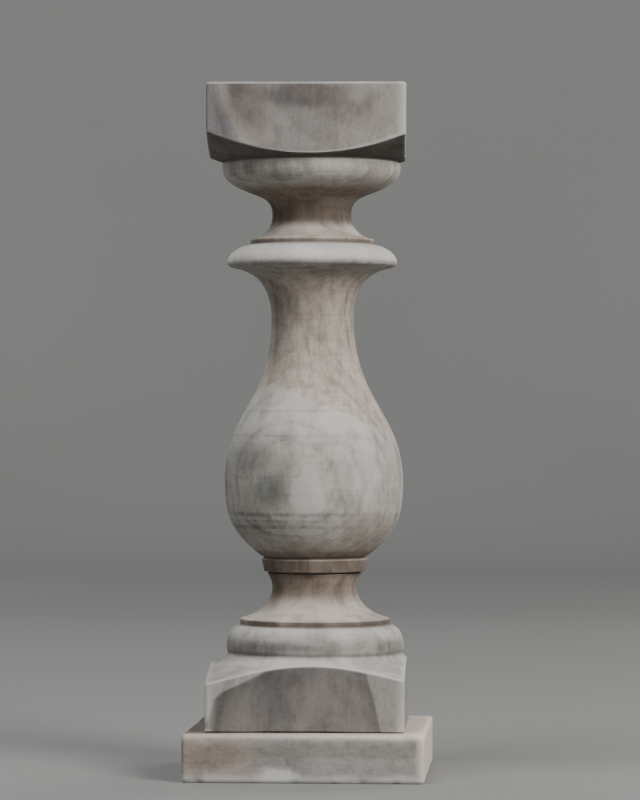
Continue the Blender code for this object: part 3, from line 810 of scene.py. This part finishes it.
def board_finish():
    """The same weathered wood, cut with its grain along X, with the base block's shadow painted on its top."""
    material, tree, shader, place = new_finish("weathered_board")
    at = node(tree, "ShaderNodeSeparateXYZ", Vector=place)
    x, z = at.outputs["X"], at.outputs["Z"]
    soft = warped(tree, place, 10.0, 0.012)
    turned_place = node(tree, "ShaderNodeMapping", Vector=soft, Rotation=(0, math.radians(90), 0)).outputs[0]
    distance = growth(tree, turned_place, BOARD_PITH, BOARD_PITH_BOW, BOARD_PITH_LEVEL)
    torn = speckle(tree, place, 40.0, 4.0, 0.62)
    mottle = speckle(tree, place, 95.0, 4.0, 0.62)
    cloud = speckle(tree, place, 13.0, 2.5, 0.5, (1, 1, 1.8))
    grit = speckle(tree, place, 330.0, 2.0, 0.6)

    # Grey, clouded wood, and a pinkish part at the left
    colour = mix(tree, between(tree, cloud, 0.34, 0.62), BOARD_DARK, BOARD)
    slant = calc(tree, "MULTIPLY_ADD", z, 0.35, x)
    slant = calc(tree, "MULTIPLY_ADD", torn, 0.012, slant)
    left = between(tree, slant, -0.034, -0.024, 1.0, 0.0)
    colour = mix(tree, calc(tree, "MULTIPLY", left, 0.8), colour, BOARD_PINK)
    band = calc(tree, "MULTIPLY", level_line(tree, z, 0.028, 0.009), between(tree, left, 0.0, 1.0, 1.0, 0.3))
    colour = tinted(tree, calc(tree, "MULTIPLY", band, 0.8), colour, STREAK)

    ring = rings(tree, distance, RING_SPACING, 1.4)
    colour = tinted(tree, calc(tree, "MULTIPLY", ring, 0.35), colour, LATE_WOOD)
    fibre = speckle(tree, soft, 1.0, 3.0, 0.65, (30, 480, 480))
    colour = tinted(tree, between(tree, fibre, 0.48, 0.70, 0.0, 0.3), colour, BROWN)
    colour = tinted(tree, between(tree, mottle, 0.46, 0.66, 0.0, 0.7), colour, STREAK)
    colour = tinted(tree, between(tree, grit, 0.42, 0.66, 0.0, 0.4), colour, STREAK)
    brown = patch(tree, place, (-0.078, -0.104, 0.023), (0.034, 0.02, 0.012), torn)
    colour = tinted(tree, calc(tree, "MULTIPLY", brown, 0.7), colour, BROWN)

    # Paler: the right end and the top's edges, more to the right, partly bleached and partly painted light from the
    # right; bleached: the lowest strip and one patch
    end = between(tree, x, 0.094, 0.1032)
    colour = mix(tree, calc(tree, "MULTIPLY", end, 0.9), colour, END_GRAIN_AND_LIGHT)
    colour = tinted(tree, calc(tree, "MULTIPLY", end, calc(tree, "MULTIPLY", ring, 0.45)), colour, LATE_WOOD)
    colour = tinted(tree, calc(tree, "MULTIPLY", end, between(tree, mottle, 0.46, 0.66, 0.0, 0.35)), colour, STREAK)
    rim = between(tree, z, 0.0350, 0.0410)
    lit_rightward = between(tree, x, -0.09, 0.09, 0.35, 0.75)
    colour = mix(tree, calc(tree, "MULTIPLY", rim, lit_rightward), colour, END_GRAIN_AND_LIGHT)
    # painted shadow of the base block on the top's left
    block_shadow = calc(tree, "MULTIPLY", between(tree, z, 0.040, 0.0414), between(tree, x, -0.10, -0.05, 1.0, 0.0))
    block_shadow = calc(tree, "MULTIPLY", block_shadow, between(tree, at.outputs["Y"], -0.099, -0.090))
    colour = tinted(tree, block_shadow, colour, SHADE)
    colour = tinted(tree, calc(tree, "MULTIPLY", block_shadow, 0.6), colour, SHADE)
    low = between(tree, calc(tree, "MULTIPLY_ADD", torn, 0.008, z), 0.006, 0.014, 0.6, 0.0)
    colour = mix(tree, low, colour, WASH_AND_LIGHT)
    white = patch(tree, place, (-0.021, -0.104, 0.006), (0.019, 0.02, 0.010), torn)
    colour = mix(tree, calc(tree, "MULTIPLY", white, 0.8), colour, WASH_AND_LIGHT)

    tree.links.new(colour, shader.inputs["Base Color"])
    tree.links.new(between(tree, mottle, 0.3, 0.7, 0.68, 0.86), shader.inputs["Roughness"])
    shader.inputs["Specular IOR Level"].default_value = 0.3
    grain = bump(tree, fibre, 0.25, 0.0006)
    grain = bump(tree, mottle, 0.4, 0.0012, grain)
    grain = bump(tree, torn, 0.3, 0.0025, grain)
    tree.links.new(grain, shader.inputs["Normal"])
    return material


def studio_finish():
    """A matt tone: darker under the part, paler towards the wall, which gets less of the light, so the paler tone
    there is painted light.
    """
    material, tree, shader, place = new_finish("pale_floor")
    level = node(tree, "ShaderNodeVectorMath", {"operation": "MULTIPLY"})
    feed(tree, level.inputs[0], place)
    feed(tree, level.inputs[1], (1, 1, 0))
    away = node(tree, "ShaderNodeVectorMath", {"operation": "LENGTH"}, Vector=level.outputs[0]).outputs["Value"]
    tone = mix(tree, between(tree, away, 2.4, STUDIO_RADIUS), (0.27, 0.275, 0.27, 1), (0.66, 0.67, 0.66, 1))
    tree.links.new(tone, shader.inputs["Base Color"])
    shader.inputs["Roughness"].default_value = 0.9
    return material


def studio():
    """A pale floor that curves up into a round wall, a soft key from the right, and weaker lights all round."""
    section = [(STUDIO_RADIUS * part / STUDIO_RINGS, 0.0) for part in range(1, FLAT_RINGS + 1)]
    curve_start = section[-1][0]
    curve = STUDIO_RADIUS - curve_start
    for step in range(1, STUDIO_RINGS + 1):
        turn = math.radians(90 * step / STUDIO_RINGS)
        section.append((curve_start + curve * math.sin(turn), curve * (1 - math.cos(turn))))
    section.append((STUDIO_RADIUS, STUDIO_HEIGHT))
    points = [(0, 0, 0)]
    for radius, height in section:
        for step in range(STUDIO_STEPS):
            turn = math.tau * step / STUDIO_STEPS
            points.append((radius * math.cos(turn), radius * math.sin(turn), height))
    faces = [(0, 1 + step, 1 + (step + 1) % STUDIO_STEPS) for step in range(STUDIO_STEPS)]
    for ring in range(len(section) - 1):
        for step in range(STUDIO_STEPS):
            here, there = (1 + ring * STUDIO_STEPS + one for one in (step, (step + 1) % STUDIO_STEPS))
            faces.append((here, here + STUDIO_STEPS, there + STUDIO_STEPS, there))
    mesh = bpy.data.meshes.new("floor")
    mesh.from_pydata(points, [], faces)
    mesh.shade_smooth()
    mesh.materials.append(studio_finish())
    floor = bpy.data.objects.new("floor", mesh)
    bpy.context.scene.collection.objects.link(floor)

    soft_light("key", (1.9, -1.9, 1.75), 1.2, 86, (1.0, 0.985, 0.96))
    soft_light("top", (-0.9, -1.0, 2.8), 1.4, 42, (1.0, 0.995, 0.98))
    soft_light("fill", (-2.2, -2.2, 1.2), 2.0, 4, (0.93, 0.97, 1.0))
    soft_light("back right", (1.9, 2.3, 1.9), 1.6, 36, (1.0, 0.97, 0.94))
    soft_light("back left", (-2.2, 2.4, 1.9), 1.6, 26, (0.95, 0.98, 1.0))
    world = bpy.data.worlds.new("studio")
    world.use_nodes = True
    world.node_tree.nodes["Background"].inputs["Color"].default_value = (0.95, 0.98, 1.0, 1)
    world.node_tree.nodes["Background"].inputs["Strength"].default_value = 0.08
    bpy.context.scene.world = world


def soft_light(name, place, size, power, colour):
    """A square soft light, turned to the baluster's middle."""
    light = bpy.data.lights.new(name, "AREA")
    light.size = size
    light.energy = power
    light.color = colour
    lamp = bpy.data.objects.new(name, light)
    lamp.location = place
    lamp.rotation_euler = (Vector((0, 0, 0.3)) - lamp.location).to_track_quat("-Z", "Y").to_euler()
    bpy.context.scene.collection.objects.link(lamp)


# The photograph's view
VIEW_AZIMUTH = math.radians(3.8)
VIEW_DISTANCE = 3.19
VIEW_HEIGHT = 0.3155
AIM_HEIGHT = 0.327
AIM_RIGHT = 0.0083
LENS_MM = 163.2


def photograph_view():
    camera = bpy.data.cameras.new("camera")
    camera.lens = LENS_MM
    camera.sensor_width = 36
    camera.clip_end = 50
    eye = bpy.data.objects.new("camera", camera)
    eye.location = (VIEW_DISTANCE * math.sin(VIEW_AZIMUTH), -VIEW_DISTANCE * math.cos(VIEW_AZIMUTH), VIEW_HEIGHT)
    aim = Vector((AIM_RIGHT * math.cos(VIEW_AZIMUTH), AIM_RIGHT * math.sin(VIEW_AZIMUTH), AIM_HEIGHT))
    eye.rotation_euler = (aim - eye.location).to_track_quat("-Z", "Y").to_euler()
    bpy.context.scene.collection.objects.link(eye)
    bpy.context.scene.camera = eye


def main():
    photograph_view()
    studio()
    baluster = turned_timber(baluster_finish())
    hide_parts("turned_baluster")
    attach(baluster, "root")
    base = board(board_finish())
    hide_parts("plinth_board")
    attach(base, "root")
    for piece in (baluster, base):
        print(piece.name, sum(len(face.vertices) - 2 for face in piece.data.polygons), "triangles")


main()
